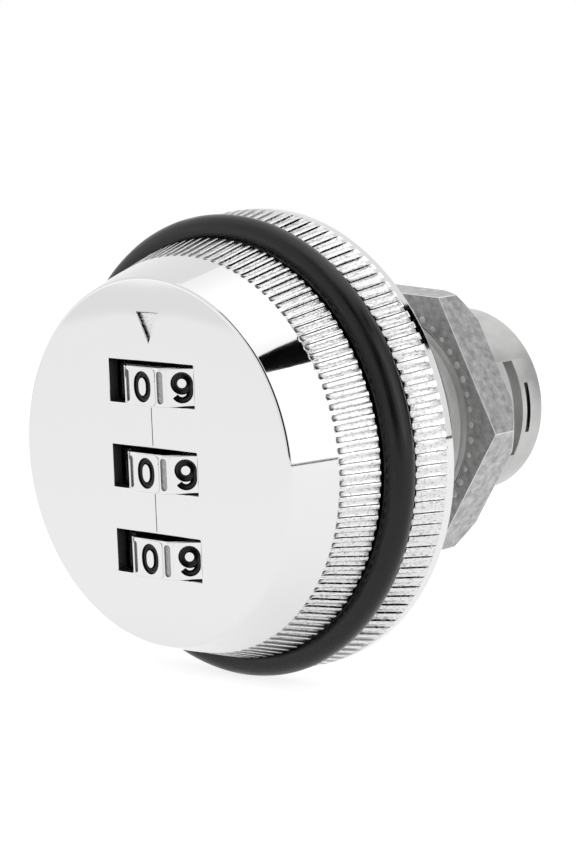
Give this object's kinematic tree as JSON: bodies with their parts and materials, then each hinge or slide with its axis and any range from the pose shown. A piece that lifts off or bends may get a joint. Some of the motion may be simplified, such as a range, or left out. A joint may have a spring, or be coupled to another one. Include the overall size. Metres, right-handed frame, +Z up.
{
  "type": "combination locker lock",
  "caption": "Round chromed locker lock whose turning knob holds number dials and a rubber grip ring, on a threaded barrel with a hex nut.",
  "frame": {"origin": "on the turning axis, in the plane where the housing's flange seats on the door", "axes": "+Y along the turning axis from the dials to the barrel's end, +Z up along the row of dials, +X to the right as seen from the dials"},
  "size_m": [0.0396, 0.0451, 0.0396],
  "materials": {
    "bright_chrome": "polished chrome plating on die-cast zinc",
    "raw_zinc": "raw die-cast zinc, dull and mottled",
    "plain_steel": "plain steel",
    "black_rubber": "satin black moulded rubber"
  },
  "bodies": {
    "housing": {"housing": "raw_zinc", "hex_nut": "raw_zinc", "retaining_clip": "plain_steel"},
    "knob": {"knob_shell": "bright_chrome", "grip_ring": "black_rubber", "dial_carrier": "raw_zinc", "dial_axle": "plain_steel", "spindle": "raw_zinc", "stop_pin": "plain_steel", "bar_spring_left": "plain_steel", "bar_spring_right": "plain_steel", "detent_ball_top": "plain_steel", "detent_ball_middle": "plain_steel", "detent_ball_bottom": "plain_steel", "detent_spring_top": "plain_steel", "detent_spring_middle": "plain_steel", "detent_spring_bottom": "plain_steel", "carrier_screw_1": "plain_steel", "carrier_screw_2": "plain_steel", "carrier_screw_3": "plain_steel"},
    "dial_top": {"dial_wheel_top": "bright_chrome", "code_sleeve_top": "raw_zinc"},
    "dial_middle": {"dial_wheel_middle": "bright_chrome", "code_sleeve_middle": "raw_zinc"},
    "dial_bottom": {"dial_wheel_bottom": "bright_chrome", "code_sleeve_bottom": "raw_zinc"},
    "locking_bar": {"locking_bar": "plain_steel"}
  },
  "joints": [
    {"name": "knob_turn", "type": "hinge", "parent": "housing", "child": "knob", "pos_m": [0, 0, 0], "axis": [0, 1, 0], "range_deg": [0, 90]},
    {"name": "dial_top_spin", "type": "hinge", "parent": "knob", "child": "dial_top", "pos_m": [0, -0.01025, 0.0065], "axis": [0, 0, 1], "continuous": true},
    {"name": "dial_middle_spin", "type": "hinge", "parent": "knob", "child": "dial_middle", "pos_m": [0, -0.01025, -0.0007], "axis": [0, 0, 1], "continuous": true},
    {"name": "dial_bottom_spin", "type": "hinge", "parent": "knob", "child": "dial_bottom", "pos_m": [0, -0.01025, -0.0079], "axis": [0, 0, 1], "continuous": true},
    {"name": "bar_slide", "type": "slide", "parent": "knob", "child": "locking_bar", "axis": [0, -1, 0], "range_m": [-0.0006, 0]}
  ]
}
